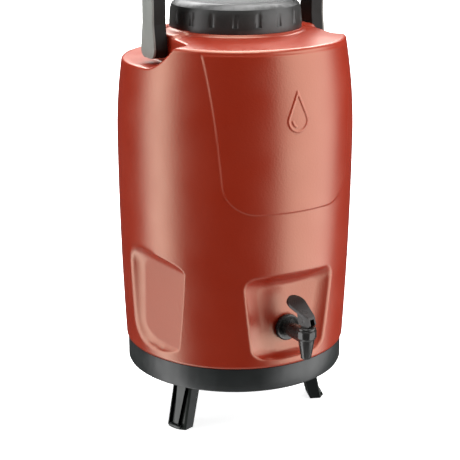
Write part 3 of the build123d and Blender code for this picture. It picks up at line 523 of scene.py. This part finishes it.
def handle_plastic():
    """Black moulded handle whose outer band is a paler grey."""
    n = Nodes("handle_grey")
    split = n.add("ShaderNodeSeparateXYZ")
    n.link(n.place, split.inputs[0])
    outside = arm_high.x * MM
    side = n.spread(n.maths("ABSOLUTE", split.outputs["X"], 0.0), outside - 0.0030, outside - 0.0022)
    tone = n.mix(n.spread(n.noise(18.0, 4.0), 0.35, 0.65), (0.009, 0.008, 0.007), (0.012, 0.010, 0.009))
    band = n.mix(n.spread(n.noise(30.0, 4.0), 0.35, 0.65), (0.26, 0.27, 0.25), (0.30, 0.31, 0.29))
    tone = n.mix(side, tone, band)
    rough = n.spread(n.noise(60.0, 5.0), 0.3, 0.7, 0.44, 0.54)
    normal = n.bump(n.noise(1300.0, 3.0), 0.00010, 0.25)
    return n.finish(tone, rough, normal, Specular_IOR_Level=0.18)


def pale_plastic(name, colour, roughness):
    """Milky moulded plastic that lets a little light in."""
    n = Nodes(name)
    tone = n.mix(n.spread(n.noise(12.0, 4.0), 0.35, 0.65), colour, tuple(c * 0.93 for c in colour))
    rough = n.spread(n.noise(50.0, 4.0), 0.3, 0.7, roughness - 0.06, roughness + 0.08)
    normal = n.bump(n.noise(500.0, 2.0), 0.0001, 0.2)
    return n.finish(tone, rough, normal, Subsurface_Weight=0.08, Subsurface_Scale=0.004)


def foam():
    """Cut polyurethane foam, yellowish and full of small cells."""
    n = Nodes("foam")
    pores = n.spread(n.cells(700.0), 0.05, 0.45)
    tone = n.mix(pores, (0.50, 0.40, 0.18), (0.80, 0.70, 0.42))
    rough = n.spread(n.noise(90.0), 0.3, 0.7, 0.85, 0.97)
    return n.finish(tone, rough, n.bump(pores, 0.0008, 0.8))


def rubber():
    """Grey silicone of the seals."""
    n = Nodes("seal_rubber")
    tone = n.mix(n.spread(n.noise(40.0, 3.0), 0.35, 0.65), (0.42, 0.42, 0.41), (0.50, 0.50, 0.48))
    rough = n.spread(n.noise(120.0, 3.0), 0.3, 0.7, 0.55, 0.7)
    return n.finish(tone, rough, n.bump(n.noise(900.0, 2.0), 0.0001, 0.3))


def steel():
    """Drawn stainless steel with fine lines along it."""
    n = Nodes("steel")
    tone = n.mix(n.spread(n.noise(80.0, 4.0), 0.35, 0.65), (0.50, 0.50, 0.50), (0.62, 0.61, 0.60))
    rough = n.spread(n.noise(300.0, 4.0), 0.3, 0.7, 0.22, 0.40)
    return n.finish(tone, rough, n.bump(n.noise(1200.0, 2.0), 0.00005, 0.3), Metallic=1.0)


SHELL_RED = red_plastic()
BASE_GREY = dark_plastic("base_grey", (0.014, 0.016, 0.016), 0.36)
LEG_GREY = leg_plastic()
HANDLE_GREY = handle_plastic()
LID_BLACK = dark_plastic("lid_black", (0.022, 0.022, 0.021), 0.40)
FAUCET_BLACK = dark_plastic("faucet_black", (0.019, 0.018, 0.017), 0.27, 0.08)
LEVER_BLACK = dark_plastic("lever_black", (0.014, 0.010, 0.009), 0.30, 0.10, 0.32)
LINER_WHITE = pale_plastic("liner_white", (0.78, 0.78, 0.74), 0.40)
WASHER_WHITE = pale_plastic("washer_white", (0.70, 0.70, 0.66), 0.35)
FOAM = foam()
RUBBER = rubber()
STEEL = steel()

FINISHES = {
    "red_plastic": SHELL_RED,
    "dark_plastic": BASE_GREY,
    "leg_plastic": LEG_GREY,
    "handle_plastic": HANDLE_GREY,
    "faucet_plastic": FAUCET_BLACK,
    "liner_plastic": LINER_WHITE,
    "washer_plastic": WASHER_WHITE,
    "foam": FOAM,
    "seal_rubber": RUBBER,
    "steel": STEEL,
}


def dress(obj, material):
    """Give an object one material."""
    obj.data.materials.clear()
    obj.data.materials.append(material)


def soften(obj, width, angle=34.0, segments=3):
    """Round a CAD node's sharp edges for the render."""
    weld = obj.modifiers.new("weld", "WELD")
    weld.merge_threshold = 0.00001
    flat = obj.modifiers.new("flat", "DECIMATE")
    flat.decimate_type = "DISSOLVE"
    flat.angle_limit = radians(1.0)
    bevel = obj.modifiers.new("edge", "BEVEL")
    bevel.width = width * MM
    bevel.segments = segments
    bevel.limit_method = "ANGLE"
    bevel.angle_limit = radians(angle)
    bevel.harden_normals = True
    bevel.use_clamp_overlap = True


for part in frame["record"]["subparts"]:
    dress(nodes[part["node"]], FINISHES[part["material_slot"]])
for name in ("lid_cap", "vent_plug"):
    dress(nodes[name], LID_BLACK)
dress(nodes["faucet_lever"], LEVER_BLACK)

shell = build_shell()
dress(shell, SHELL_RED)
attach(shell, "root")
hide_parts("outer_shell")

for name, width in (("handle", 2.6), ("lid_cap", 0.7), ("faucet_lever", 0.8), ("faucet_body", 0.35),
                    ("faucet_bonnet", 0.4), ("leg_front_left", 0.8), ("leg_front_right", 0.8),
                    ("leg_rear", 0.8), ("base_ring", 0.5)):
    soften(nodes[name], width)


# ---- floor, light and camera --------------------------------------------------------------
# The camera: degrees and metres, on a sphere round a point of the object's axis.
CAMERA_BEARING = -30.0
CAMERA_RISE = 15.73
CAMERA_DISTANCE = 1.6964
CAMERA_AIM_Z = 0.200
CAMERA_TILT = 16.91
CAMERA_PAN = 0.205
CAMERA_ROLL = 0.13
FOCAL = 105.65

# Soft boxes, as bright patches of the surroundings: bearing from the camera and half width in
# degrees, width of the soft edge in degrees, lowest and highest sine of the elevation, radiance.
SOFT_BOXES = (
    (-79.0, 15.0, 10.0, -0.92, 0.62, 4.2),
    (77.0, 31.0, 9.0, -0.62, 0.62, 3.3),
    (180.0, 32.0, 10.0, 0.42, 0.90, 10.0),
)
WINDOW_EDGE = 0.10                 # softness of a soft box's upper and lower ends
AMBIENT = 0.05
CEILING = 6.0
BOUNCE = 0.6                       # light that comes back up from the floor
FLOOR_GLOW = 0.80
FLOOR_SPAN = 6000.0


def floor():
    """A pale floor that the camera sees; other rays pass it and meet the surroundings."""
    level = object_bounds()[0].z / MM
    corners = [(a * FLOOR_SPAN, b * FLOOR_SPAN, level) for a, b in ((-1, -1), (1, -1), (1, 1), (-1, 1))]
    ground = new_object("floor", corners, [(0, 1, 2, 3)], smooth=False)
    n = Nodes("floor_white")
    tone = n.mix(n.spread(n.noise(3.0, 2.0), 0.3, 0.7), (0.90, 0.90, 0.90), (0.93, 0.93, 0.93))
    n.finish(tone, n.spread(n.noise(8.0), 0.3, 0.7, 0.8, 0.9), Specular_IOR_Level=0.0,
             Emission_Color=(1.0, 1.0, 1.0, 1.0), Emission_Strength=FLOOR_GLOW)
    pick = n.add("ShaderNodeMixShader")
    n.link(n.add("ShaderNodeLightPath").outputs["Is Camera Ray"], pick.inputs[0])
    n.link(n.add("ShaderNodeBsdfTransparent").outputs[0], pick.inputs[1])
    n.link(n.shader.outputs[0], pick.inputs[2])
    n.link(pick.outputs[0], n.tree.nodes["Material Output"].inputs["Surface"])
    dress(ground, n.material)
    ground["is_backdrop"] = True


class SkyNodes(Nodes):
    """The same short calls, for the surroundings."""

    def __init__(self, world):
        world.use_nodes = True
        self.tree = world.node_tree
        self.place = self.add("ShaderNodeTexCoord").outputs["Generated"]

    def along(self, direction):
        node = self.add("ShaderNodeVectorMath", operation="DOT_PRODUCT")
        self.link(self.place, node.inputs[0])
        node.inputs[1].default_value = direction
        return node.outputs["Value"]

    def bearing_gap(self, bearing, centre):
        """How far a bearing is from a centre, going the shorter way round."""
        fold = self.add("ShaderNodeMath", operation="WRAP")
        self.link(self.maths("SUBTRACT", bearing, centre), fold.inputs[0])
        fold.inputs[1].default_value = pi
        fold.inputs[2].default_value = -pi
        return self.maths("ABSOLUTE", fold.outputs[0], 0.0)

    def window(self, value, low, high, edge):
        """1 between two values, with soft edges."""
        rise = self.spread(value, low - edge, low + edge)
        fall = self.spread(value, high - edge, high + edge, 1.0, 0.0)
        return self.maths("MULTIPLY", rise, fall)


def light():
    """Studio surroundings: tall soft boxes at both sides, a pale backdrop and ceiling."""
    world = bpy.data.worlds.new("studio")
    bpy.context.scene.world = world
    n = SkyNodes(world)
    a = radians(CAMERA_BEARING)
    toward = n.along((sin(a), -cos(a), 0.0))
    right = n.along((cos(a), sin(a), 0.0))
    up = n.along((0.0, 0.0, 1.0))
    bearing = n.maths("ARCTAN2", right, toward)
    total = n.maths("ADD", n.spread(up, 0.86, 0.97, 0.0, CEILING), AMBIENT)
    total = n.maths("ADD", total, n.spread(up, -0.90, -0.65, BOUNCE, 0.0))
    for centre, half, edge, low, high, strength in SOFT_BOXES:
        off = n.bearing_gap(bearing, radians(centre))
        across = n.spread(off, radians(half - edge), radians(half + edge), 1.0, 0.0)
        patch = n.maths("MULTIPLY", across, n.window(up, low, high, WINDOW_EDGE))
        total = n.maths("ADD", total, n.maths("MULTIPLY", patch, strength))
    seen = n.tree.nodes["Background"]
    seen.inputs["Color"].default_value = (1.0, 1.0, 1.0, 1.0)
    seen.inputs["Strength"].default_value = 1.0
    glow = n.add("ShaderNodeBackground")
    n.link(total, glow.inputs["Strength"])
    glow.inputs["Color"].default_value = (1.0, 1.0, 1.0, 1.0)
    pick = n.add("ShaderNodeMixShader")
    n.link(n.add("ShaderNodeLightPath").outputs["Is Camera Ray"], pick.inputs[0])
    n.link(glow.outputs[0], pick.inputs[1])
    n.link(seen.outputs[0], pick.inputs[2])
    n.link(pick.outputs[0], n.tree.nodes["World Output"].inputs["Surface"])


def camera():
    """The view from the front left, a little above."""
    data = bpy.data.cameras.new("camera")
    data.sensor_width = 36.0
    data.lens = FOCAL
    data.clip_end = 50.0
    obj = bpy.data.objects.new("camera", data)
    bpy.context.scene.collection.objects.link(obj)
    bearing = radians(CAMERA_BEARING)
    rise = radians(CAMERA_RISE)
    obj.location = (
        CAMERA_DISTANCE * cos(rise) * sin(bearing),
        -CAMERA_DISTANCE * cos(rise) * cos(bearing),
        CAMERA_AIM_Z + CAMERA_DISTANCE * sin(rise),
    )
    turn = Matrix.Rotation(radians(CAMERA_BEARING + CAMERA_PAN), 4, "Z")
    tilt = Matrix.Rotation(radians(90.0 - CAMERA_TILT), 4, "X")
    roll = Matrix.Rotation(radians(CAMERA_ROLL), 4, "Z")
    obj.matrix_world = Matrix.Translation(obj.location) @ turn @ tilt @ roll
    bpy.context.scene.camera = obj


floor()
light()
camera()
bpy.context.scene.view_settings.view_transform = "Standard"
